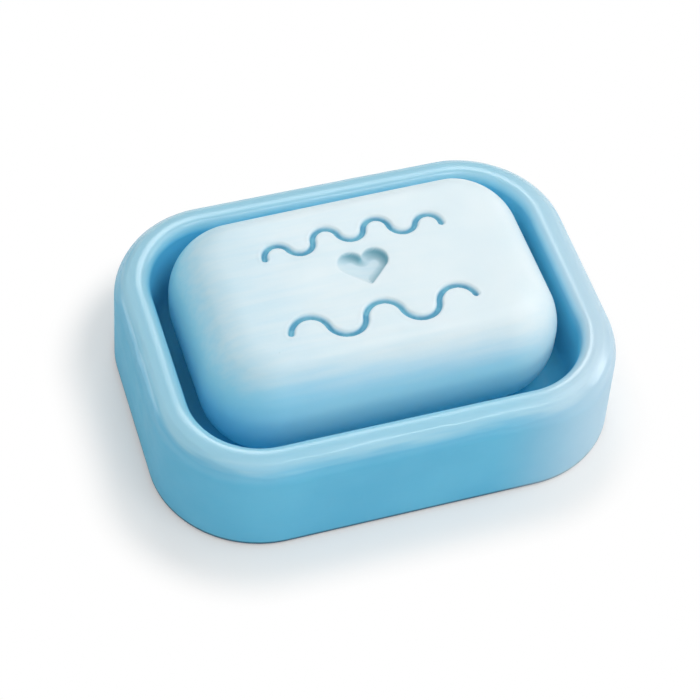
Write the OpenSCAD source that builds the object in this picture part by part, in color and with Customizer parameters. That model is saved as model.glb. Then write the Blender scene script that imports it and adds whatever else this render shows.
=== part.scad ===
// Soap-bar eraser lying in its own little dish.
// The bar is one moulded rubber pillow, and the dish one moulded rubber tray.
// The origin is at the middle of the dish's underside.
// X runs along the length, Y to the back, and Z up.

/* [Dish] */
// Length over the foot
dish_length = 70; // [60:0.5:90]
// Depth over the foot, front to back
dish_depth = 52.5; // [50:0.5:70]
// Height of the rim above the table
dish_height = 16.8; // [14:0.1:22]
// Corner radius of the foot, seen from above
dish_corner_r = 16.2; // [14:0.1:20]
// Angle by which the outer wall leans in towards the rim
outer_lean = 1.6; // [0.5:0.1:3]
// Angle by which the hollow narrows towards its floor
inner_lean = 4; // [1:0.5:6]
// Thickness of the floor
floor_t = 3; // [2:0.1:4.5]
// Radius of the bottom edge of the foot
foot_r = 0.5; // [0.2:0.1:1]
// Radius between the inner wall and the floor
fillet_r = 3; // [1:0.1:4]

/* [Rim] */
// Radius of the outer shoulder
shoulder_r = 3.6; // [2.5:0.1:4.5]
// Flat between the shoulder and the lip
rim_flat = 0.1; // [0.05:0.05:1]
// Radius of the inner lip
lip_r = 1.6; // [0.8:0.1:2]

/* [Bar] */
// Space between the bar and the dish's lip at each end
end_gap = 2.4; // [1.5:0.1:4]
// Space between the bar and the dish's lip at the front and back, with the bar centred
side_gap = 3.2; // [2.5:0.1:4]
// How far the bar lies off centre towards the right
bar_slide = 0.2; // [-1:0.1:1]
// How far the bar lies off centre towards the back
bar_shift = 1.6; // [-1.8:0.1:1.8]
// Angle by which the bar is turned in the dish
bar_turn = 0.8; // [-1:0.1:1]
// Height of the bar
bar_height = 20; // [18.8:0.1:26]
// Corner radius of the bar, seen from above
bar_corner_r = 10; // [9:0.1:13]
// How far the rounded edge runs in over the top and the underside
edge_in = 6; // [5.5:0.1:7]
// How far the rounded edge runs down the side
edge_up = 9.2; // [8:0.1:9.4]
// Angle from level of the short slant between the edge's tight crown and its flatter flank
edge_turn = 50; // [45:1:55]
// Length of that slant
edge_slant = 1; // [0.3:0.1:1.5]

/* [Heart] */
// Radius of each lobe
lobe_r = 2.1; // [1.9:0.1:2.4]
// Distance of each lobe's middle from the heart's own middle line
lobe_x = 1.8; // [1.2:0.1:1.8]
// Distance from the lobes' middles down to where the two sides would meet
heart_drop = 4.7; // [3.8:0.1:4.9]
// Radius of the tip
tip_r = 0.5; // [0.2:0.1:1]
// Place of the lobes' middles, from the middle of the bar towards the back
heart_y = 1.4; // [0.8:0.1:1.6]
// Depth of the heart
heart_depth = 1.1; // [0.4:0.1:1.5]

/* [Ripples] */
// Width of the grooves
groove_w = 1.1; // [0.6:0.1:1.4]
// Depth of the grooves
groove_depth = 0.7; // [0.3:0.1:1.2]
// Half the angle of each wave's arc
wave_angle = 78; // [60:1:82]
// Number of half waves in the arched ripple
arch_waves = 7; // [5:2:9]
// Space between the arched ripple and the rounded edge at the back
arch_margin = 2.2; // [0.1:0.1:2.4]
// Space between the arched ripple and the rounded edge at each end
arch_end = 7.4; // [5.6:0.1:9]
// Radius of the arch that it follows
arch_r = 50; // [45:1:80]
// Number of half waves in the straight ripple
low_waves = 5; // [5:2:9]
// Space between the straight ripple and the rounded edge at the front
low_margin = 0.2; // [0.1:0.1:1]
// Space between the straight ripple and the rounded edge at each end
low_end = 7.2; // [6.6:0.1:9.5]

/* [Hidden] */
$fn = 64;
// Spare length by which a cut runs out through a face
through = 2;
// Spare width of a cutting shape beyond the side that it rounds
spare = 0.5;
// Hair by which an arc runs past a side that it touches, so that the two always cross
hair = 0.0002;
// The bar is sized in steps of this, so that its halves are whole hundredths.
bar_step = 0.02;

// Across the wall at a corner, x runs outwards from the corner's upright axis.
shoulder_x = dish_corner_r
    - (shoulder_r + (dish_height - shoulder_r) * sin(outer_lean)) / cos(outer_lean);
lip_x = shoulder_x - rim_flat;
// Inner wall at the height of the lip's middle
mouth_x = lip_x - lip_r / cos(inner_lean);
mouth_z = dish_height - lip_r;

bar_length = stepped(dish_length - 2 * (dish_corner_r - mouth_x + end_gap));
bar_depth = stepped(dish_depth - 2 * (dish_corner_r - mouth_x + side_gap));
flat_length = bar_length - 2 * edge_in;
flat_depth = bar_depth - 2 * edge_in;
bar_top = bar_height / 2;

// The edge is a tight crown beside the flat top, the slant, and a flatter flank.
arcs_in = edge_in - edge_slant * cos(edge_turn);
arcs_up = edge_up - edge_slant * sin(edge_turn);
turn_sum = sin(edge_turn) + cos(edge_turn) - 1;
crown_r = (arcs_in * cos(edge_turn) - arcs_up * (1 - sin(edge_turn))) / turn_sum;
flank_r = (arcs_up * sin(edge_turn) - arcs_in * (1 - cos(edge_turn))) / turn_sum;

arch_wave = (flat_length - 2 * arch_end) / arch_waves;
low_wave = (flat_length - 2 * low_end) / low_waves;
// Turn of the arch along one half wave
arch_step = 2 * asin(arch_wave / 2 / arch_r);
arch_y = flat_depth / 2 - arch_margin - groove_w / 2 - wave_rise(arch_wave);
low_y = flat_depth / 2 - low_margin - groove_w / 2 - wave_rise(low_wave);

function stepped(size) = bar_step * round(size / bar_step);
// Height of a half wave over its chord
function wave_rise(chord) = chord / 2 * tan(wave_angle / 2);
function unit(v) = v / norm(v);
function flip(v) = [v.x, -v.y];
// Point at a distance in a direction, with the angle taken from upright
function aim(distance, angle) = distance * [sin(angle), cos(angle)];

// Waste between the corner p and an arc of radius r that touches both of its sides.
// The points a and b lie on the two sides.
module corner_waste(p, a, b, r) {
    to_a = unit(a - p);
    to_b = unit(b - p);
    half = acos(to_a * to_b) / 2;
    inwards = unit(to_a + to_b);
    middle = p + inwards * r / sin(half);
    // Directions from the arc's middle square to the two sides
    square_a = unit(p + to_a * r / tan(half) - middle);
    square_b = unit(p + to_b * r / tan(half) - middle);
    wide = r + spare;
    difference() {
        polygon([
            middle,
            middle + square_a * wide,
            middle - inwards * wide / sin(half),
            middle + square_b * wide
        ]);
        translate(middle) circle(r + hair);
    }
}

// Sweeps a section round a rectangle with rounded corners.
// The section's x runs outwards from the upright axis of a corner of radius r.
module sweep_round(length, depth, r) {
    for (side = [0:3]) {
        even = side % 2 == 0;
        axis_x = (even ? length : depth) / 2 - r;
        run = (even ? depth : length) - 2 * r;
        rotate(90 * side) translate([axis_x, run / 2, 0]) {
            rotate_extrude(angle = 90) children();
            rotate([90, 0, 0]) linear_extrude(run) children();
        }
    }
}

// Section through the dish's wall, with the strip of floor beside it.
module dish_section() {
    outer_foot = [dish_corner_r, 0];
    outer_top = [dish_corner_r - dish_height * tan(outer_lean), dish_height];
    inner_top = [mouth_x + lip_r * tan(inner_lean), dish_height];
    inner_foot = [mouth_x - (mouth_z - floor_t) * tan(inner_lean), floor_t];
    floor_end = [0, floor_t];
    difference() {
        polygon([[0, 0], outer_foot, outer_top, inner_top, inner_foot, floor_end]);
        corner_waste(outer_top, outer_foot, inner_top, shoulder_r);
        corner_waste(inner_top, inner_foot, outer_top, lip_r);
        corner_waste(outer_foot, outer_top, [0, 0], foot_r);
    }
    corner_waste(inner_foot, inner_top, floor_end, fillet_r);
}

module dish() {
    color([0.42, 0.72, 0.85]) {
        sweep_round(dish_length, dish_depth, dish_corner_r) dish_section();
        translate([dish_corner_r - dish_length / 2, dish_corner_r - dish_depth / 2, 0])
            cube([dish_length - 2 * dish_corner_r, dish_depth - 2 * dish_corner_r, floor_t]);
    }
}

// Section through the bar's rounded edge, from the underside to the top.
module edge_section() {
    // Corners in which the slant would meet the top and the side
    crown_corner = [bar_corner_r - edge_in + crown_r * tan(edge_turn / 2), bar_top];
    flank_corner = [bar_corner_r, bar_top - edge_up + flank_r * tan((90 - edge_turn) / 2)];
    top_middle = [0, bar_top];
    difference() {
        polygon([
            top_middle, crown_corner, flank_corner,
            flip(flank_corner), flip(crown_corner), flip(top_middle)
        ]);
        for (side = [0, 1])
            mirror([0, side]) {
                corner_waste(crown_corner, top_middle, flank_corner, crown_r);
                corner_waste(flank_corner, crown_corner, flip(flank_corner), flank_r);
            }
    }
}

// Bar without its recesses, with the origin at its middle.
module pillow() {
    sweep_round(bar_length, bar_depth, bar_corner_r) edge_section();
    cube([bar_length - 2 * bar_corner_r, bar_depth - 2 * bar_corner_r, bar_height], center = true);
}

// Heart with the middles of its lobes on the X axis.
module heart_outline() {
    tip = [0, -heart_drop];
    middle = [lobe_x, 0];
    reach = norm(middle - tip);
    // Direction from the tip to where its side touches the lobe
    side = atan2(lobe_x, heart_drop) + asin(lobe_r / reach);
    touch = tip + aim(sqrt(reach * reach - lobe_r * lobe_r), side);
    other_touch = [-touch.x, touch.y];
    difference() {
        union() {
            polygon([tip, touch, middle, [-middle.x, 0], other_touch]);
            for (x = [-lobe_x, lobe_x])
                translate([x, 0]) circle(lobe_r + hair);
        }
        corner_waste(tip, touch, other_touch, tip_r);
    }
}

// Groove along half a wave, over a chord on the X axis and with its top at level zero.
module half_wave(chord, half_angle) {
    r = chord / 2 / sin(half_angle);
    translate([0, -r * cos(half_angle)]) rotate(90 - half_angle)
        rotate_extrude(angle = 2 * half_angle)
            translate([r - groove_w / 2, -groove_depth])
                square([groove_w, groove_depth + through]);
}

// Round spot of a groove, which joins two half waves or ends the last one.
module groove_spot() {
    translate([0, 0, -groove_depth])
        cylinder(r = groove_w / 2 + hair, h = groove_depth + through);
}

// Ripple along an arch, with the arch's crown at the origin and the bar's top at level zero.
module arched_ripple() {
    for (k = [0:arch_waves - 1]) {
        up = k % 2 == 0;
        at = (k + 0.5 - arch_waves / 2) * arch_step;
        translate([0, -arch_r]) rotate(-at) translate([0, arch_r * cos(arch_step / 2)])
            rotate(up ? 0 : 180)
                half_wave(arch_wave, wave_angle + (up ? 0.5 : -0.5) * arch_step);
    }
    for (k = [0:arch_waves])
        translate([0, -arch_r] + aim(arch_r, (k - arch_waves / 2) * arch_step)) groove_spot();
}

// Ripple along the X axis, with its middle at the origin.
module straight_ripple() {
    for (k = [0:low_waves - 1])
        translate([(k + 0.5 - low_waves / 2) * low_wave, 0])
            rotate(k % 2 * 180) half_wave(low_wave, wave_angle);
    for (k = [0:low_waves])
        translate([(k - low_waves / 2) * low_wave, 0]) groove_spot();
}

module eraser_bar() {
    color([0.88, 0.94, 0.97])
        translate([bar_slide, bar_shift, floor_t + bar_top]) rotate(bar_turn) difference() {
            pillow();
            translate([0, heart_y, bar_top - heart_depth]) linear_extrude(heart_depth + through)
                heart_outline();
            translate([0, arch_y, bar_top]) arched_ripple();
            translate([0, -low_y, bar_top]) straight_ripple();
        }
}

dish();
eraser_bar();
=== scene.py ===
"""Soap-bar eraser lying in its dish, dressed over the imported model.

Both pieces are moulded rubber. Each gets a mesh of its own with smooth rounded edges: the dish is
its wall's section carried round a rounded rectangle, and the bar is a pillow whose top carries the
sunk heart and the two wavy grooves. Sizes are in millimetres here and become metres in the mesh.
"""

import math

import bpy
import numpy as np
from mathutils import Matrix, Vector


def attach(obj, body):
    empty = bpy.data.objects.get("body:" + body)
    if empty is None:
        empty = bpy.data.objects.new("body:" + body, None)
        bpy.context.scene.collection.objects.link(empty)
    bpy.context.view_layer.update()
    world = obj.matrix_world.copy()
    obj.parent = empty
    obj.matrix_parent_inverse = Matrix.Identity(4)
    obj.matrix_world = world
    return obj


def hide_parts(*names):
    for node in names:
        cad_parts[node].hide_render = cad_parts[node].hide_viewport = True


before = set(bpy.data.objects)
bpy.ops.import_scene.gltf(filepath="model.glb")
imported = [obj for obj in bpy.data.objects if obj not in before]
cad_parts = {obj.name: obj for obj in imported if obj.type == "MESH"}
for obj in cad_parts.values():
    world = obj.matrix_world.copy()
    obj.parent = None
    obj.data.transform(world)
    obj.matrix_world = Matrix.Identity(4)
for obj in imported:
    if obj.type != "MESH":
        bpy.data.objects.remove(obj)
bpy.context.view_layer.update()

MM = 0.001
# Lengths below this count as none
TINY = 1e-6

# Dish, with the same sizes as the solid
DISH_LENGTH = 70.0
DISH_DEPTH = 52.5
DISH_HEIGHT = 16.8
DISH_CORNER = 16.2
OUTER_LEAN = 1.6
INNER_LEAN = 4.0
FLOOR_T = 3.0
FOOT_R = 0.5
FILLET_R = 3.0
SHOULDER_R = 3.6
RIM_FLAT = 0.1
LIP_R = 1.6
# Soft ridges that the mould leaves along the rim: angle from level, height and half width
RIM_RIDGES = ((34.0, 0.05, 0.30), (50.0, 0.04, 0.28), (65.0, 0.06, 0.30), (110.0, 0.03, 0.30))
# They wander a little on their way round, each shifted against the next: waves in a round, degrees
# and phase
RIDGE_WANDER = ((5, 1.8, 0.4), (12, 1.3, 2.1), (23, 1.1, 1.0), (41, 1.0, 0.2), (67, 0.7, 1.7))
RIDGE_SHIFT = 2.0
# They also swell and fade: mean, swing and waves in a round, with more waves on each next ridge
RIDGE_SWELL = (0.6, 0.4, 7)
SWELL_MORE = 2
# Angle on the lip, from level, over which the rim's polish ends
POLISH_END = (105.0, 150.0)
# Way from the rim's crest into the hollow over which the colour turns to the hollow's
HOLLOW_FADE = (0.4, 4.2)
# The rim's streaks are this many times as long as they are wide
STREAK_STRETCH = 9.0
# Marks a point of the section that isn't on the rim
NO_ANGLE = -999.0
# The section starts and ends this far from a corner's upright axis
SECTION_END = 2.0
# Mesh steps along the section: underside, foot, wall, shoulder, lip, inner wall, fillet and floor
UNDER_STEPS = 3
FOOT_STEPS = 6
WALL_STEPS = 10
SHOULDER_STEPS = 40
LIP_STEPS = 24
INNER_STEPS = 6
FILLET_STEPS = 10
FLOOR_STEPS = 4
# Mesh steps round a corner, along a long side and along a short one
RING_STEPS = (40, 54, 34)

# Bar. Its length and depth before the turn are 0.14 and 0.44 mm more than the solid's, and its other
# sizes are the solid's
BAR_LENGTH = 54.0
BAR_DEPTH = 35.2
BAR_HEIGHT = 20.0
BAR_CORNER = 10.0
BAR_SLIDE = 0.2
BAR_SHIFT = 1.6
BAR_TURN = 0.8
EDGE_IN = 6.0
EDGE_UP = 9.2
EDGE_TURN = 50.0
EDGE_SLANT = 1.0
# The ends are rounder than the long sides: their edge runs in this much further at the top
END_EXTRA = 1.0
# The left end is worn down further than the right one
LEFT_EXTRA = 2.4
# Corner radius along the length that is left where the ends run in furthest
CORNER_LEAST = 0.4
# Drop of the pillowed top over the half length and the half depth of its marked field
CROWN_X = 0.1
CROWN_Y = 0.03
# Mesh steps along each of the edge's two arcs
EDGE_STEPS = 13

# Marks in the bar's top
GROOVE_W = 1.1
GROOVE_DEPTH = 0.75
WAVE_ANGLE = 78.0
ARCH_WAVES = 7
ARCH_MARGIN = 2.2
ARCH_END = 7.4
ARCH_R = 50.0
LOW_WAVES = 5
LOW_MARGIN = 0.2
LOW_END = 7.2
LOBE_R = 2.1
LOBE_X = 1.8
HEART_DROP = 4.7
TIP_R = 0.5
HEART_Y = 1.4
HEART_DEPTH = 1.3
# Share of the heart's depth that is left at its shallow side, and the way from there to full depth
HEART_SHALLOW = 0.3
HEART_FALL = 4.0
# Width over which a groove's wall comes down, and how far outside the groove's edge it starts
GROOVE_WALL = 0.42
GROOVE_START = 0.08
# The same width for the heart's wall, whose top rounds over within one part of this many
HEART_WALL = 1.5
HEART_ROUNDING = 5
# Height of the lip that the mould presses up beside a groove, and its distance and half width
LIP_RISE = 0.04
LIP_AT = 0.3
LIP_WIDE = 0.2
# Side towards which the heart gets deeper and its wall gets painted shade, seen from above
SHADE_FROM = (0.8, 0.6)
# The heart's tint is painted shade
# Least tint of the heart, how fast the tint sets in at its outline, and how it dies away inwards
HEART_TINT_LEAST = 0.06
HEART_TINT_START = 6
HEART_TINT_FALL = 0.6
# Mesh steps round a lobe and round the tip of the heart's outline
LOBE_STEPS = 40
TIP_STEPS = 12
# Stands for a distance beyond all others
FAR = 1e9

# Field of the bar's top that carries the marks, as a fine even grid
FIELD_X = 16.4
FIELD_Y = 11.52
CELL = 0.16
# Grid cells of the long sides and of the ends that go round a corner, and where they share it
TURN_CELLS_LONG = 4
TURN_CELLS_END = 22
TURN_SPLIT = 15.0


def srgb(r, g, b):
    """Linear colour of an 8-bit sRGB colour."""
    out = []
    for v in (r, g, b):
        v = v / 255
        out.append(v / 12.92 if v <= 0.04045 else ((v + 0.055) / 1.055) ** 2.4)
    return (*out, 1.0)


def smooth(t):
    t = np.clip(t, 0, 1)
    return t * t * (3 - 2 * t)


def lengths(vectors):
    return np.linalg.norm(vectors, axis=-1)


def arc(cx, cz, r, start, end, steps):
    """Points of an arc, from start to end degrees."""
    a = np.radians(np.linspace(start, end, steps + 1))
    return np.c_[cx + r * np.cos(a), cz + r * np.sin(a)]


def joined(*runs):
    """Runs of points as one line, without a point that repeats the one before it."""
    pts = np.vstack(runs)
    keep = np.r_[True, lengths(np.diff(pts[:, :2], axis=0)) > TINY]
    return pts[keep]


def straight(a, b, steps):
    return np.array(a) + (np.array(b) - np.array(a)) * np.linspace(0, 1, steps + 1)[:, None]


def make_object(name, verts_mm, faces):
    mesh = bpy.data.meshes.new(name)
    mesh.from_pydata((np.asarray(verts_mm) * MM).tolist(), [], faces)
    mesh.validate()
    mesh.shade_smooth()
    obj = bpy.data.objects.new(name, mesh)
    bpy.context.scene.collection.objects.link(obj)
    return obj


def add_values(obj, name, values):
    """Stores a number or a vector for each vertex, for the material to read."""
    values = np.asarray(values, np.float32)
    vector = values.ndim == 2
    layer = obj.data.attributes.new(name, "FLOAT_VECTOR" if vector else "FLOAT", "POINT")
    layer.data.foreach_set("vector" if vector else "value", values.ravel())


def bridge(a, b, n):
    """Faces between two closed rings of n points that start at the indices a and b."""
    k = np.arange(n)
    nxt = (k + 1) % n
    return np.c_[a + k, a + nxt, b + nxt, b + k].tolist()


# The dish

def dish_section():
    """The wall's section from the middle of the underside, up the outside, over the rim and down
    to the floor. x runs outwards from a corner's upright axis. The third column is the angle from
    level on the rim."""
    lean, slope = math.radians(OUTER_LEAN), math.radians(INNER_LEAN)
    shoulder_z = DISH_HEIGHT - SHOULDER_R
    lip_z = DISH_HEIGHT - LIP_R
    shoulder_x = DISH_CORNER - (SHOULDER_R + shoulder_z * math.sin(lean)) / math.cos(lean)
    lip_x = shoulder_x - RIM_FLAT
    mouth_x = lip_x - LIP_R / math.cos(slope)
    # Middle of the foot's arc, which touches the underside and the leaning wall
    foot_x = DISH_CORNER - (FOOT_R + FOOT_R * math.sin(lean)) / math.cos(lean)
    wall_foot_x = mouth_x - (lip_z - FLOOR_T) * math.tan(slope)
    # Middle of the fillet's arc, inside the hollow
    fillet_x = wall_foot_x + FILLET_R * math.tan(slope) - FILLET_R / math.cos(slope)

    def plain(points):
        return np.c_[points, np.full(len(points), NO_ANGLE)]

    def rim(cx, cz, r, start, end, steps):
        return np.c_[arc(cx, cz, r, start, end, steps), np.linspace(start, end, steps + 1)]

    foot = arc(foot_x, FOOT_R, FOOT_R, -90, OUTER_LEAN, FOOT_STEPS)
    shoulder = rim(shoulder_x, shoulder_z, SHOULDER_R, OUTER_LEAN, 90, SHOULDER_STEPS)
    lip = rim(lip_x, lip_z, LIP_R, 90, 180 - INNER_LEAN, LIP_STEPS)
    fillet = arc(fillet_x, FLOOR_T + FILLET_R, FILLET_R, -INNER_LEAN, -90, FILLET_STEPS)
    return joined(
        plain(straight((SECTION_END, 0), foot[0], UNDER_STEPS)),
        plain(foot),
        plain(straight(foot[-1], shoulder[0, :2], WALL_STEPS)),
        shoulder,
        lip,
        plain(straight(lip[-1, :2], fillet[0], INNER_STEPS)),
        plain(fillet),
        plain(straight(fillet[-1], (SECTION_END, FLOOR_T), FLOOR_STEPS)),
    )


def even_ring(steps_corner, steps_x, steps_y, axis_x, axis_y):
    """Corner axis and outward direction of each point of a ring, counter-clockwise."""
    points = []
    corners = ((1, 1, 0), (-1, 1, 90), (-1, -1, 180), (1, -1, 270))
    for i, (sx, sy, turn) in enumerate(corners):
        for k in range(steps_corner + 1):
            a = math.radians(turn + 90 * k / steps_corner)
            points.append((sx * axis_x, sy * axis_y, math.cos(a), math.sin(a)))
        # Points along the side that follows this corner
        tx, ty, _ = corners[(i + 1) % 4]
        steps = steps_x if i % 2 == 0 else steps_y
        a = math.radians(turn + 90)
        for k in range(1, steps):
            f = k / steps
            x = axis_x * (sx + (tx - sx) * f)
            y = axis_y * (sy + (ty - sy) * f)
            points.append((x, y, math.cos(a), math.sin(a)))
    return np.array(points)


def ridge_rise(angle, turn):
    """Height of the rim's ridges over the plain rim, at an angle of the section and a turn."""
    r = np.where(angle < 90, SHOULDER_R, LIP_R)
    rise = np.zeros(np.broadcast(angle, turn).shape)
    mean, swing, swells = RIDGE_SWELL
    for k, (at, height, wide) in enumerate(RIM_RIDGES):
        wander = sum(
            deg * np.sin(waves * turn + phase + RIDGE_SHIFT * k)
            for waves, deg, phase in RIDGE_WANDER
        )
        swell = mean + swing * np.sin((swells + SWELL_MORE * k) * turn + k)
        rise += height * swell * np.exp(-((np.radians(angle - at - wander) * r / wide) ** 2))
    return np.where(angle == NO_ANGLE, 0, rise)


def make_dish():
    ring = even_ring(*RING_STEPS, DISH_LENGTH / 2 - DISH_CORNER, DISH_DEPTH / 2 - DISH_CORNER)
    section = dish_section()
    n, m = len(ring), len(section)
    # Way round the rim as a turn, and way across the section in millimetres
    outline = ring[:, :2] + DISH_CORNER * ring[:, 2:]
    way = np.r_[0, np.cumsum(lengths(np.diff(outline, axis=0)))]
    around = way[-1] + lengths(outline[0] - outline[-1])
    turn = 2 * math.pi * way / around
    across = np.r_[0, np.cumsum(lengths(np.diff(section[:, :2], axis=0)))]

    angle = section[:, 2:]
    rise = ridge_rise(angle, turn[None])
    out = section[:, :1] + rise * np.cos(np.radians(angle))
    up = section[:, 1:2] + rise * np.sin(np.radians(angle))
    verts = np.stack(
        [ring[:, 0] + ring[:, 2] * out, ring[:, 1] + ring[:, 3] * out, up], axis=-1
    ).reshape(-1, 3)
    faces = []
    for i in range(m - 1):
        faces += bridge(i * n, (i + 1) * n, n)
    faces.append(list(range(n))[::-1])
    last = (m - 1) * n
    faces.append(list(range(last, last + n)))
    dish = make_object("dish_body", verts, faces)

    # How far in the hollow a point is, from 0 to 1, for the finish and for the colour
    crest = int(np.argmax(section[:, 1]))
    low, high = POLISH_END
    hollow = smooth((section[:, 2] - low) / (high - low))
    hollow[crest:][section[crest:, 2] == NO_ANGLE] = 1
    add_values(dish, "hollow", np.repeat(hollow, n))
    # The hollow's colour is painted light: brighter, for the light thrown about inside the dish
    low, high = HOLLOW_FADE
    inside = smooth((across - across[crest] - low) / (high - low))
    add_values(dish, "inside", np.repeat(inside, n))
    # The corners are handled most: 1 in the middle of a corner and 0 along the sides
    handled = np.sqrt(np.abs(2 * ring[:, 2] * ring[:, 3]))
    add_values(dish, "handled", np.tile(handled, m))
    # Place along the streaks: round the rim much faster than across it
    reach = around / (2 * math.pi) / STREAK_STRETCH
    flow = np.stack(
        [
            np.tile(reach * np.cos(turn), m),
            np.tile(reach * np.sin(turn), m),
            np.repeat(across, n),
        ],
        axis=-1,
    )
    add_values(dish, "flow", flow * MM)
    return dish


# The bar

def edge_profile(steps):
    """The rounded edge from the flat top to the upright side: how far in and how far down."""
    t = math.radians(EDGE_TURN)
    arcs_in = EDGE_IN - EDGE_SLANT * math.cos(t)
    arcs_up = EDGE_UP - EDGE_SLANT * math.sin(t)
    total = math.sin(t) + math.cos(t) - 1
    crown = (arcs_in * math.cos(t) - arcs_up * (1 - math.sin(t))) / total
    flank = (arcs_up * math.sin(t) - arcs_in * (1 - math.cos(t))) / total
    first = arc(-EDGE_IN, -crown, crown, 90, 90 - EDGE_TURN, steps)
    second = arc(-flank, -EDGE_UP, flank, 90 - EDGE_TURN, 0, steps)
    return joined(first, second) * [-1, -1]


def wave_arcs(chord, count):
    """The straight ripple's half waves, as middle, radius, direction and half angle."""
    half = math.radians(WAVE_ANGLE)
    r = chord / 2 / math.sin(half)
    arcs = []
    for k in range(count):
        side = 1 if k % 2 == 0 else -1
        middle = ((k + 0.5 - count / 2) * chord, -side * r * math.cos(half))
        arcs.append((middle, r, math.radians(90 * side), half))
    ends = [(side * count / 2 * chord, 0.0) for side in (-1, 1)]
    return arcs, ends


def arch_arcs(chord, count):
    """The same for the ripple that follows an arch with its crown at the origin."""
    step = 2 * math.asin(chord / 2 / ARCH_R)
    arcs = []
    for k in range(count):
        side = 1 if k % 2 == 0 else -1
        half = math.radians(WAVE_ANGLE) + side * step / 2
        r = chord / 2 / math.sin(half)
        at = (k + 0.5 - count / 2) * step
        reach = ARCH_R * math.cos(step / 2) - side * r * math.cos(half)
        middle = (reach * math.sin(at), reach * math.cos(at) - ARCH_R)
        arcs.append((middle, r, math.radians(90 * side) - at, half))
    last = count / 2 * step
    ends = [(side * ARCH_R * math.sin(last), ARCH_R * math.cos(last) - ARCH_R) for side in (-1, 1)]
    return arcs, ends


def distance_to_ripple(x, y, ripple, shift_y):
    """Distance of each point to the middle line of a ripple."""
    arcs, ends = ripple
    best = np.full(x.shape, FAR)
    for (cx, cy), r, direction, half in arcs:
        dx, dy = x - cx, y - (cy + shift_y)
        turn = np.arctan2(dy, dx) - direction
        turn = np.arctan2(np.sin(turn), np.cos(turn))
        near = np.where(np.abs(turn) <= half, np.abs(np.hypot(dx, dy) - r), FAR)
        best = np.minimum(best, near)
    for ex, ey in ends:
        best = np.minimum(best, np.hypot(x - ex, y - (ey + shift_y)))
    return best


def heart_outline():
    """Points round the heart, counter-clockwise from its tip."""
    reach = math.hypot(LOBE_X, HEART_DROP)
    side = math.degrees(math.atan2(LOBE_X, HEART_DROP) + math.asin(LOBE_R / reach))
    notch = math.degrees(math.acos(-LOBE_X / LOBE_R))
    right = arc(LOBE_X, HEART_Y, LOBE_R, -side, notch, LOBE_STEPS)
    left = (right * [-1, 1])[::-1]
    # The tip's arc touches both sides
    tip_y = HEART_Y - HEART_DROP + TIP_R / math.sin(math.radians(side))
    tip = arc(0, tip_y, TIP_R, side - 180, -side, TIP_STEPS)
    return np.vstack([tip, right, left[1:]])


def inside_heart(x, y):
    """Distance of each point inwards from the heart's outline, and zero outside it, with how far
    the wall beside it is on the shaded side, from 0 to 1."""
    outline = heart_outline()
    inward = np.zeros(x.shape)
    shaded = np.zeros(x.shape)
    near = np.flatnonzero((np.abs(x) < LOBE_X + LOBE_R) & (np.abs(y - HEART_Y) < HEART_DROP))
    pts = np.c_[x[near], y[near]][:, None, :]
    a, b = outline[None], np.roll(outline, -1, 0)[None]
    run = b - a
    t = np.clip(((pts - a) * run).sum(2) / (run * run).sum(2), 0, 1)
    offset = pts - (a + run * t[..., None])
    distances = lengths(offset)
    nearest = distances.argmin(1)
    apart = distances[np.arange(len(near)), nearest]
    facing = offset[np.arange(len(near)), nearest] @ np.array(SHADE_FROM) / np.maximum(apart, TINY)
    # A point is inside when a ray towards +X crosses the outline an odd number of times
    px, py = pts[..., 0], pts[..., 1]
    crosses = (a[..., 1] > py) != (b[..., 1] > py)
    rise = np.where(run[..., 1] == 0, 1, run[..., 1])
    at = a[..., 0] + (py - a[..., 1]) / rise * run[..., 0]
    inside = (crosses & (px < at)).sum(1) % 2 == 1
    inward[near] = np.where(inside, apart, 0)
    shaded[near] = np.where(inside, smooth((1 - facing) / 2), 0)
    return inward, shaded


# The heart's tint returned here is painted shade, and the grooves' tint partly so
def mark_depth(x, y):
    """Depth of the marks in the bar's top, with the tint of the grooves and of the heart, each
    from 0 to 1."""
    wave_long = (BAR_LENGTH - 2 * EDGE_IN - 2 * ARCH_END) / ARCH_WAVES
    low_long = (BAR_LENGTH - 2 * EDGE_IN - 2 * LOW_END) / LOW_WAVES
    rise = math.tan(math.radians(WAVE_ANGLE / 2)) / 2
    reach = BAR_DEPTH / 2 - EDGE_IN - GROOVE_W / 2
    arch_y = reach - ARCH_MARGIN - wave_long * rise
    low_y = reach - LOW_MARGIN - low_long * rise
    arch = distance_to_ripple(x, y, arch_arcs(wave_long, ARCH_WAVES), arch_y)
    low = distance_to_ripple(x, y, wave_arcs(low_long, LOW_WAVES), -low_y)
    apart = np.minimum(arch, low) - GROOVE_W / 2
    groove = smooth((GROOVE_START - apart) / GROOVE_WALL)
    pressed_up = LIP_RISE * np.exp(-(((apart - LIP_AT) / LIP_WIDE) ** 2)) * (1 - groove)
    inward, shaded = inside_heart(x, y)
    t = np.clip(inward / HEART_WALL, 0, 1)
    towards = x * SHADE_FROM[0] + (y - HEART_Y + LOBE_R) * SHADE_FROM[1]
    fall = np.clip(0.5 + towards / HEART_FALL, 0, 1)
    bowl = np.sqrt(1 - (1 - t) ** 2) * smooth(t * HEART_ROUNDING)
    bowl = bowl * (HEART_SHALLOW + (1 - HEART_SHALLOW) * fall)
    depth = np.maximum(groove * GROOVE_DEPTH, bowl * HEART_DEPTH) - pressed_up
    # Painted shade on the heart's wall, darkest on the shaded side
    tint = HEART_TINT_LEAST + (1 - HEART_TINT_LEAST) * shaded * (1 - t) ** HEART_TINT_FALL
    heart = smooth(t * HEART_TINT_START) * tint
    return depth, groove, heart


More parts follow.
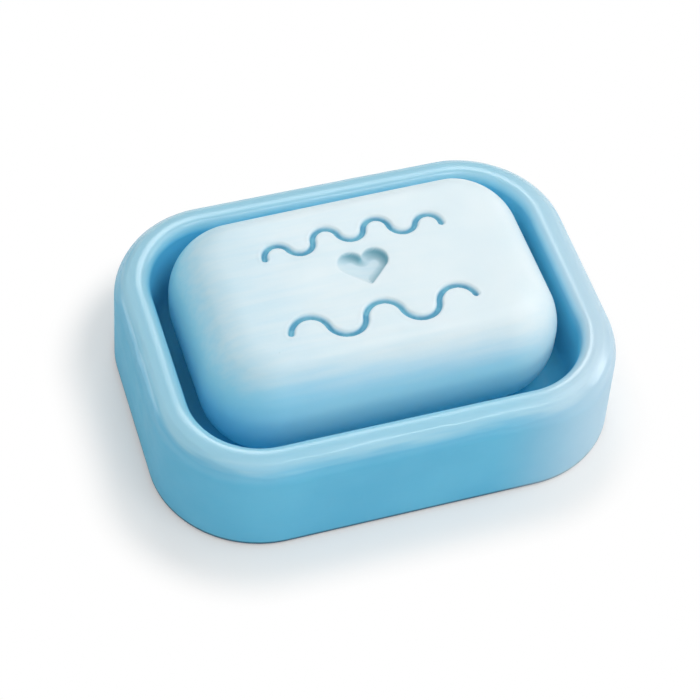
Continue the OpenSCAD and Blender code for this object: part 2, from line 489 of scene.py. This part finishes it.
def turned_ring(nx, ny, half_x, half_y, rx, ry):
    """Ring of 2 (nx + ny) points round a rounded rectangle with elliptical corners. It starts in
    the corner at low x and low y and runs counter-clockwise, as the grid's border does."""
    ax, ay = half_x - rx, half_y - ry
    sides = []
    for n, cells, square, share in (
        (nx, TURN_CELLS_LONG, 270, TURN_SPLIT),
        (ny, TURN_CELLS_END, 360, 90 - TURN_SPLIT),
    ):
        first = [(square - share + share * k / cells, 0.0) for k in range(cells)]
        run = n - 2 * cells
        middle = [(square, k / run) for k in range(run + 1)]
        last = [(square + share * k / cells, 1.0) for k in range(1, cells)]
        sides.append(first + middle + last)
    points = []
    for deg, f in sides[0]:
        a = math.radians(deg)
        points.append((-ax + 2 * ax * f + rx * math.cos(a), -ay + ry * math.sin(a)))
    for deg, f in sides[1]:
        a = math.radians(deg)
        points.append((ax + rx * math.cos(a), -ay + 2 * ay * f + ry * math.sin(a)))
    points = np.array(points)
    return np.vstack([points, -points])


def make_bar():
    nx = 2 * round(FIELD_X / CELL)
    ny = 2 * round(FIELD_Y / CELL)
    gx = np.linspace(-FIELD_X, FIELD_X, nx + 1)
    gy = np.linspace(-FIELD_Y, FIELD_Y, ny + 1)
    x, y = (grid.ravel() for grid in np.meshgrid(gx, gy))
    top = BAR_HEIGHT / 2

    def crowned(px, py, pz):
        drop = CROWN_X * (px / FIELD_X) ** 2 + CROWN_Y * (py / FIELD_Y) ** 2
        return pz - drop * np.clip(pz / top, 0, 1) ** 2

    depth, groove, heart = mark_depth(x, y)
    verts = [np.c_[x, y, crowned(x, y, np.full(len(x), top)) - depth]]
    index = np.arange(len(x)).reshape(ny + 1, nx + 1)
    faces = np.stack(
        [index[:-1, :-1], index[:-1, 1:], index[1:, 1:], index[1:, :-1]], axis=-1
    ).reshape(-1, 4).tolist()
    border = np.r_[index[0, :-1], index[:-1, -1], index[-1, :0:-1], index[:0:-1, 0]]
    n = len(border)
    border_xy = np.c_[x[border], y[border]]

    def ring_at(inset, z):
        share = (inset / EDGE_IN) ** 2
        run = inset + END_EXTRA * share
        half = BAR_LENGTH / 2 - run
        rx = max(BAR_CORNER - run, CORNER_LEAST)
        xy = turned_ring(nx, ny, half, BAR_DEPTH / 2 - inset, rx, BAR_CORNER - inset)
        worn = (LEFT_EXTRA - END_EXTRA) * share
        xy[:, 0] *= np.where(xy[:, 0] < 0, 1 - worn / half, 1)
        return xy, np.full(n, z)

    # A ring halfway between the field and the edge, then the edge down to the side and on to below
    profile = edge_profile(EDGE_STEPS)
    edge_xy, edge_z = ring_at(profile[0, 0], top - profile[0, 1])
    rings = [((border_xy + edge_xy) / 2, edge_z)]
    rings += [ring_at(inset, top - drop) for inset, drop in profile]
    rings += [ring_at(inset, drop - top) for inset, drop in profile[::-1]]
    start = len(x)
    prev = None
    for xy, z in rings:
        verts.append(np.c_[xy, crowned(xy[:, 0], xy[:, 1], z)])
        if prev is None:
            ring_index = np.arange(start, start + n)
            nxt = (np.arange(n) + 1) % n
            faces += np.c_[border, ring_index, ring_index[nxt], border[nxt]].tolist()
        else:
            faces += [f[::-1] for f in bridge(prev, start, n)]
        prev = start
        start += n
    faces.append(list(range(prev, prev + n)))
    verts = np.vstack(verts)
    turn = math.radians(BAR_TURN)
    c, s = math.cos(turn), math.sin(turn)
    placed = np.c_[
        verts[:, 0] * c - verts[:, 1] * s + BAR_SLIDE,
        verts[:, 0] * s + verts[:, 1] * c + BAR_SHIFT,
        verts[:, 2] + FLOOR_T + top,
    ]
    bar = make_object("eraser_bar_body", placed, faces)
    for name, values in (("groove", groove), ("heart", heart)):
        add_values(bar, name, np.r_[values, np.zeros(len(verts) - len(values))])
    return bar


# Materials. Places and heights in them are in metres

# Usual range of a noise, in which its low and high values are told apart
NOISE_RANGE = (0.3, 0.7)
# Bumps of moulded rubber: scale and detail of the noise, height and strength
GRAIN = (2600, 3, 0.00002, 0.35)
UNEVEN = (110, 2, 0.0002, 0.3)
STREAK_STRENGTH = 0.3
# Scale and detail of the noise that varies the sheen
SHEEN_NOISE = (240, 3)

# Dish: scale and detail of the noise between the wall's two colours
WALL_COLOURS = (srgb(90, 183, 219), srgb(98, 190, 224))
WALL_NOISE = (70, 3)
# Painted shade: the edge of the foot is darker, as the thin shadow where the dish meets the floor
FOOT_SHADE_COLOUR = srgb(30, 84, 112)
FOOT_SHADE_HEIGHTS = (0.0005, 0.0009)
# Painted sheen: the rim has a pale band with a streaky lower edge, standing in for light on its top
RIM_SHEEN_COLOUR = srgb(153, 210, 231)
RIM_SHEEN_BAND = (0.0152, 0.0163)
RIM_SHEEN_WAVER = 0.0003
RIM_STREAKS = (600, 2)
RIM_STREAK_HEIGHT = 0.00016
# Painted sheen: the outside is paler towards the right end, most of all at its front
RIGHT_SHEEN_COLOUR = srgb(204, 222, 234)
RIGHT_SHEEN_WAY = (1, -0.3, 0)
RIGHT_SHEEN_OVER = (0.018, 0.038)
RIGHT_SHEEN_MOST = 0.65
# Painted light: the hollow is brighter than the wall, for the light thrown about inside the dish
HOLLOW_LIT_COLOUR = srgb(108, 214, 248)
# The rim is polished by handling, most of all at its corners, the walls below it stay duller, and
# the hollow is dull: coat weights, and heights over which the polish sets in
COAT_SIDES = 0.6
COAT_CORNERS = 1.0
COAT_HOLLOW = 0.12
POLISH_START = (0.0136, 0.0154)
DISH_ROUGHNESS = (0.48, 0.58)
HOLLOW_ROUGHNESS = 0.8

# Bar: its pale top and the deep colour below, each as two colours with a noise between them
# The blue below is partly own colour, partly painted shade and painted blue light from the dish
PALE_COLOURS = (srgb(224, 240, 247), srgb(230, 243, 249))
DEEP_COLOURS = (srgb(144, 213, 241), srgb(151, 217, 244))
BAR_NOISE = (90, 3)
# Painted light: beside the rim the deep colour is brighter, for light that the dish throws back
LIT_COLOUR = srgb(184, 238, 255)
LIT_UP_TO = (0.0140, 0.0200)
# Painted shade: both colours are a little duller at the left end
LEFT_SHADE_PALE = srgb(217, 234, 240)
LEFT_SHADE_DEEP = srgb(140, 214, 240)
LEFT_SHADE_UP_TO = (-0.027, -0.008)
# Painted shade: the left end, away from the light, is bluer further up
# The blue of the lower half reaches higher at the left end than at the right one, and its edge is
# drawn out into faint streaks
BLUE_SHADE_TILT = (0.07, 0, 1)
BLUE_UP_TO = (0.0160, 0.0238)
BLUE_WAVER = 0.0005
BAR_STREAKS = (800, 2)
BAR_STREAK_RANGE = (0.25, 0.75)
BAR_STREAK_WAY = (0.1, 1, 1)
BAR_STREAK_HEIGHT = 0.00004
# Painted light: the right end is paler all the way down
RIGHT_LIT_END = (0.016, 0.026)
RIGHT_LIT_MOST = 0.6
# The grooves' blue is partly their own colour and partly painted shade
GROOVE_SHADE_COLOURS = (srgb(96, 178, 208), srgb(124, 198, 220))
GROOVE_NOISE = (500, 2)
GROOVE_NOISE_RANGE = (0.4, 0.6)
# Share of a groove's depth over which its tint sets in
GROOVE_TINT = (0.15, 1.0)
# Painted shade for the heart's wall
HEART_SHADE_COLOUR = srgb(96, 170, 188)
BAR_ROUGHNESS = (0.36, 0.46)


def set_values(made, **inputs):
    """Sets a node's inputs, named with _ in place of each space."""
    for key, value in inputs.items():
        made.inputs[key.replace("_", " ")].default_value = value


def new_material(name):
    mat = bpy.data.materials.new(name)
    mat.use_nodes = True
    tree = mat.node_tree
    return mat, tree, tree.nodes["Principled BSDF"]


def node(tree, kind, **inputs):
    made = tree.nodes.new(kind)
    set_values(made, **inputs)
    return made


def maths(tree, operation, a, b):
    made = tree.nodes.new("ShaderNodeMath")
    made.operation = operation
    tree.links.new(a, made.inputs[0])
    tree.links.new(b, made.inputs[1])
    return made.outputs[0]


def vector_math(tree, operation, a, b=None):
    """The operation on a vector and, where it takes two, on a fixed second one."""
    made = tree.nodes.new("ShaderNodeVectorMath")
    made.operation = operation
    tree.links.new(a, made.inputs[0])
    if b is not None:
        made.inputs[1].default_value = b
    return made.outputs["Value" if operation in ("DOT_PRODUCT", "LENGTH") else "Vector"]


def noise(tree, coords, scale, detail):
    made = node(tree, "ShaderNodeTexNoise", Scale=scale, Detail=detail)
    tree.links.new(coords, made.inputs["Vector"])
    return made.outputs["Fac"]


def ramp(tree, value, low, high, to_low=0.0, to_high=1.0):
    """The value carried smoothly from one range to another, and held at its ends."""
    made = tree.nodes.new("ShaderNodeMapRange")
    made.interpolation_type = "SMOOTHSTEP"
    tree.links.new(value, made.inputs["Value"])
    set_values(made, From_Min=low, From_Max=high, To_Min=to_low, To_Max=to_high)
    return made.outputs["Result"]


def faded(tree, factor, start, end):
    """From the value start to the number end as the factor goes from 0 to 1."""
    made = tree.nodes.new("ShaderNodeMapRange")
    tree.links.new(factor, made.inputs["Value"])
    tree.links.new(start, made.inputs["To Min"])
    set_values(made, To_Max=end)
    return made.outputs["Result"]


def mixed(tree, factor, a, b):
    """From the colour a to b, each a socket or a fixed colour, as the factor goes from 0 to 1."""
    made = tree.nodes.new("ShaderNodeMix")
    made.data_type = "RGBA"
    tree.links.new(factor, made.inputs["Factor"])
    for socket, value in ((made.inputs[6], a), (made.inputs[7], b)):
        if isinstance(value, tuple):
            socket.default_value = value
        else:
            tree.links.new(value, socket)
    return made.outputs[2]


def attribute(tree, name, output="Fac"):
    made = tree.nodes.new("ShaderNodeAttribute")
    made.attribute_name = name
    return made.outputs[output]


def object_coords(tree):
    return tree.nodes.new("ShaderNodeTexCoord").outputs["Object"]


def split_xyz(tree, coords):
    made = tree.nodes.new("ShaderNodeSeparateXYZ")
    tree.links.new(coords, made.inputs[0])
    return [made.outputs[axis] for axis in "XYZ"]


def bump(tree, height, distance, strength, below=None):
    made = node(tree, "ShaderNodeBump", Strength=strength, Distance=distance)
    tree.links.new(height, made.inputs["Height"])
    if below is not None:
        tree.links.new(below, made.inputs["Normal"])
    return made.outputs["Normal"]


def rubber_surface(tree, shader, coords, streaks, streak_height, rough):
    """Gives the shader fine moulded grain over streaks and a slow unevenness. Returns a roughness
    that varies a little."""
    normal = None
    for height, distance, strength in (
        (noise(tree, coords, *GRAIN[:2]), *GRAIN[2:]),
        (streaks, streak_height, STREAK_STRENGTH),
        (noise(tree, coords, *UNEVEN[:2]), *UNEVEN[2:]),
    ):
        normal = bump(tree, height, distance, strength, normal)
    tree.links.new(normal, shader.inputs["Normal"])
    return ramp(tree, noise(tree, coords, *SHEEN_NOISE), *NOISE_RANGE, *rough)


def dish_rubber():
    mat, tree, shader = new_material("dish_rubber")
    coords = object_coords(tree)
    _, _, z = split_xyz(tree, coords)
    hollow = attribute(tree, "hollow")
    streaks = noise(tree, attribute(tree, "flow", "Vector"), *RIM_STREAKS)

    tone = ramp(tree, noise(tree, coords, *WALL_NOISE), *NOISE_RANGE)
    colour = mixed(tree, tone, *WALL_COLOURS)
    # Painted shade along the foot's edge
    colour = mixed(tree, ramp(tree, z, *FOOT_SHADE_HEIGHTS), FOOT_SHADE_COLOUR, colour)
    # Painted sheen: the pale band on the rim's top
    waver = ramp(tree, streaks, *NOISE_RANGE, -RIM_SHEEN_WAVER, RIM_SHEEN_WAVER)
    band = ramp(tree, maths(tree, "ADD", z, waver), *RIM_SHEEN_BAND)
    colour = mixed(tree, band, colour, RIM_SHEEN_COLOUR)
    # Painted sheen towards the right end
    rightward = vector_math(tree, "DOT_PRODUCT", coords, RIGHT_SHEEN_WAY)
    right_sheen = ramp(tree, rightward, *RIGHT_SHEEN_OVER, 0.0, RIGHT_SHEEN_MOST)
    colour = mixed(tree, right_sheen, colour, RIGHT_SHEEN_COLOUR)
    # Painted light: the hollow's brighter colour
    colour = mixed(tree, attribute(tree, "inside"), colour, HOLLOW_LIT_COLOUR)
    tree.links.new(colour, shader.inputs["Base Color"])

    handled = ramp(tree, attribute(tree, "handled"), 0.0, 1.0, COAT_SIDES, COAT_CORNERS)
    polish = maths(tree, "MULTIPLY", handled, ramp(tree, z, *POLISH_START))
    tree.links.new(faded(tree, hollow, polish, COAT_HOLLOW), shader.inputs["Coat Weight"])
    rough = rubber_surface(tree, shader, coords, streaks, RIM_STREAK_HEIGHT, DISH_ROUGHNESS)
    tree.links.new(faded(tree, hollow, rough, HOLLOW_ROUGHNESS), shader.inputs["Roughness"])
    set_values(
        shader,
        Specular_IOR_Level=0.4,
        Coat_Roughness=0.22,
        Coat_IOR=1.8,
        Subsurface_Weight=0.3,
        Subsurface_Radius=(0.9, 0.9, 1.0),
        Subsurface_Scale=0.003,
    )
    return mat


def bar_rubber():
    mat, tree, shader = new_material("bar_rubber")
    coords = object_coords(tree)
    x, _, z = split_xyz(tree, coords)
    streaks = noise(tree, vector_math(tree, "MULTIPLY", coords, BAR_STREAK_WAY), *BAR_STREAKS)

    tone = ramp(tree, noise(tree, coords, *BAR_NOISE), *NOISE_RANGE)
    pale = mixed(tree, tone, *PALE_COLOURS)
    deep = mixed(tree, tone, *DEEP_COLOURS)
    # Painted light beside the rim
    deep = mixed(tree, ramp(tree, z, *LIT_UP_TO), LIT_COLOUR, deep)
    # Painted shade at the left end, which faces away from the light
    out_of_left_shade = ramp(tree, x, *LEFT_SHADE_UP_TO)
    pale = mixed(tree, out_of_left_shade, LEFT_SHADE_PALE, pale)
    deep = mixed(tree, out_of_left_shade, LEFT_SHADE_DEEP, deep)
    # Painted shade: the blue reaches higher at the left end
    level = vector_math(tree, "DOT_PRODUCT", coords, BLUE_SHADE_TILT)
    waver = ramp(tree, streaks, *BAR_STREAK_RANGE, -BLUE_WAVER, BLUE_WAVER)
    high = ramp(tree, maths(tree, "ADD", level, waver), *BLUE_UP_TO)
    # Partly own colour, partly painted shade and painted blue light from the dish
    colour = mixed(tree, high, deep, pale)
    # Painted light at the right end
    colour = mixed(tree, ramp(tree, x, *RIGHT_LIT_END, 0.0, RIGHT_LIT_MOST), colour, pale)
    # Grooves: partly own colour, partly painted shade
    mottle = ramp(tree, noise(tree, coords, *GROOVE_NOISE), *GROOVE_NOISE_RANGE)
    sunk = mixed(tree, mottle, *GROOVE_SHADE_COLOURS)
    colour = mixed(tree, ramp(tree, attribute(tree, "groove"), *GROOVE_TINT), colour, sunk)
    colour = mixed(tree, attribute(tree, "heart"), colour, HEART_SHADE_COLOUR)
    tree.links.new(colour, shader.inputs["Base Color"])

    rough = rubber_surface(tree, shader, coords, streaks, BAR_STREAK_HEIGHT, BAR_ROUGHNESS)
    tree.links.new(rough, shader.inputs["Roughness"])
    set_values(
        shader,
        Specular_IOR_Level=0.45,
        Subsurface_Weight=0.4,
        Subsurface_Radius=(0.95, 0.95, 1.0),
        Subsurface_Scale=0.003,
    )
    return mat


# The two pieces, each over its solid

dish = make_dish()
dish.data.materials.append(dish_rubber())
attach(dish, "root")
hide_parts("dish")

bar = make_bar()
bar.data.materials.append(bar_rubber())
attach(bar, "root")
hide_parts("eraser_bar")


# Stage, light and camera

# The camera sees the floor turn to plain white over this way from the foot of the dish. The lit
# part, with the shadow, lies a little to the left and to the front
FLOOR_FADE = (2.0, 9.3)
SHADOW_SHIFT = (-1.9, -1.2)
# Share of the plain white that the floor shows beside the dish already
WHITE_LEAST = 0.2
FLOOR_COLOUR = (0.95, 0.94, 0.925, 1)
# Half the floor's side, and how far it lies below the dish, so that the two don't share a plane
FLOOR_REACH = 3000.0
FLOOR_DROP = 0.02
WHITE = (1, 1, 1, 1)

# Strength of the world's light
WORLD_LIGHT = 0.45
# Square lamps: azimuth from +X towards +Y and elevation in degrees, distance and side in metres,
# and radiance. The small ones draw the light lines along the rim, and the fill is the broad one
LAMPS = {
    "key": (20, 56, 0.6, 0.26, 0.7),
    "crest": (76, 47, 0.6, 0.24, 3.0),
    "edge": (6, 36, 0.6, 0.2, 1.6),
    "side": (-5, 20, 0.6, 0.22, 2.6),
    "front": (315, 71, 0.6, 0.12, 5),
    "glance": (145, 5, 0.6, 0.08, 4),
    "back_left": (131, 38, 0.6, 0.3, 0.5),
    "fill": (285, 50, 0.7, 1.2, 0.6),
}


def way_from_dish(tree):
    """Distance on the floor from the middle lines of the dish's corners, in metres."""
    reach = (DISH_LENGTH / 2 - DISH_CORNER, DISH_DEPTH / 2 - DISH_CORNER)
    place = vector_math(tree, "SUBTRACT", object_coords(tree), [v * MM for v in (*SHADOW_SHIFT, 0)])
    place = vector_math(tree, "ABSOLUTE", place)
    place = vector_math(tree, "SUBTRACT", place, [v * MM for v in (*reach, 1)])
    return vector_math(tree, "LENGTH", vector_math(tree, "MAXIMUM", place, (0, 0, 0)))


def mixed_shaders(tree, factor, a, b, out):
    """Goes from the shader a to b as the factor goes from 0 to 1, into the socket out."""
    both = tree.nodes.new("ShaderNodeMixShader")
    for socket, value in zip(both.inputs, (factor, a.outputs[0], b.outputs[0])):
        tree.links.new(value, socket)
    tree.links.new(both.outputs[0], out.inputs["Surface"])


def make_floor():
    low, high = -FLOOR_REACH, FLOOR_REACH
    corners = [(x, y, -FLOOR_DROP) for x, y in ((low, low), (high, low), (high, high), (low, high))]
    floor = make_object("floor", corners, [(0, 1, 2, 3)])
    mat, tree, shader = new_material("floor_white")
    set_values(shader, Base_Color=FLOOR_COLOUR, Roughness=1, Specular_IOR_Level=0)
    white = node(tree, "ShaderNodeEmission", Color=WHITE, Strength=1)
    path = tree.nodes.new("ShaderNodeLightPath")
    near, far = ((DISH_CORNER + v) * MM for v in FLOOR_FADE)
    fade = ramp(tree, way_from_dish(tree), near, far, WHITE_LEAST)
    share = maths(tree, "MULTIPLY", path.outputs["Is Camera Ray"], fade)
    mixed_shaders(tree, share, shader, white, tree.nodes["Material Output"])
    floor.data.materials.append(mat)


def softbox(name, azimuth, elevation, distance, size, radiance):
    """Square lamp that faces the object."""
    a, e = math.radians(azimuth), math.radians(elevation)
    away = Vector((math.cos(a) * math.cos(e), math.sin(a) * math.cos(e), math.sin(e)))
    lamp = bpy.data.lights.new(name, "AREA")
    lamp.shape = "SQUARE"
    lamp.size = size
    lamp.energy = radiance * math.pi * size * size
    obj = bpy.data.objects.new(name, lamp)
    facing = away.to_track_quat("Z", "Y").to_matrix().to_4x4()
    obj.matrix_world = Matrix.Translation(away * distance) @ facing
    bpy.context.scene.collection.objects.link(obj)


def make_world():
    """Even light from all round, behind which the camera sees plain white."""
    world = bpy.data.worlds.new("studio")
    bpy.context.scene.world = world
    world.use_nodes = True
    tree = world.node_tree
    tree.nodes.clear()
    light = node(tree, "ShaderNodeBackground", Color=WHITE, Strength=WORLD_LIGHT)
    seen = node(tree, "ShaderNodeBackground", Color=WHITE, Strength=1)
    path = tree.nodes.new("ShaderNodeLightPath")
    out = tree.nodes.new("ShaderNodeOutputWorld")
    mixed_shaders(tree, path.outputs["Is Camera Ray"], light, seen, out)


# Camera as fitted to the photo: azimuth 0 looks along +Y
CAM_AZIMUTH = -20.713
CAM_ELEVATION = 51.82
CAM_DISTANCE = 333.7
CAM_AIM = (-2.213, -1.105, 7.90)
CAM_ROLL = 4.586
CAM_LENS = 116.05
CAM_SENSOR = 36
CAM_CLIP = (0.01, 20)


def make_camera():
    a, e, r = (math.radians(v) for v in (CAM_AZIMUTH, CAM_ELEVATION, CAM_ROLL))
    back = Vector((math.sin(a) * math.cos(e), -math.cos(a) * math.cos(e), math.sin(e)))
    level = (-back).cross(Vector((0, 0, 1))).normalized()
    upright = level.cross(-back)
    right = level * math.cos(r) + upright * math.sin(r)
    up = upright * math.cos(r) - level * math.sin(r)
    place = (Vector(CAM_AIM) + back * CAM_DISTANCE) * MM
    data = bpy.data.cameras.new("camera")
    data.sensor_fit = "HORIZONTAL"
    data.sensor_width = CAM_SENSOR
    data.lens = CAM_LENS
    data.clip_start, data.clip_end = CAM_CLIP
    cam = bpy.data.objects.new("camera", data)
    turned = Matrix((right, up, back)).transposed().to_4x4()
    cam.matrix_world = Matrix.Translation(place) @ turned
    bpy.context.scene.collection.objects.link(cam)
    bpy.context.scene.camera = cam


make_floor()
make_world()
for name, values in LAMPS.items():
    softbox(name, *values)
make_camera()
bpy.context.scene.view_settings.view_transform = "Standard"
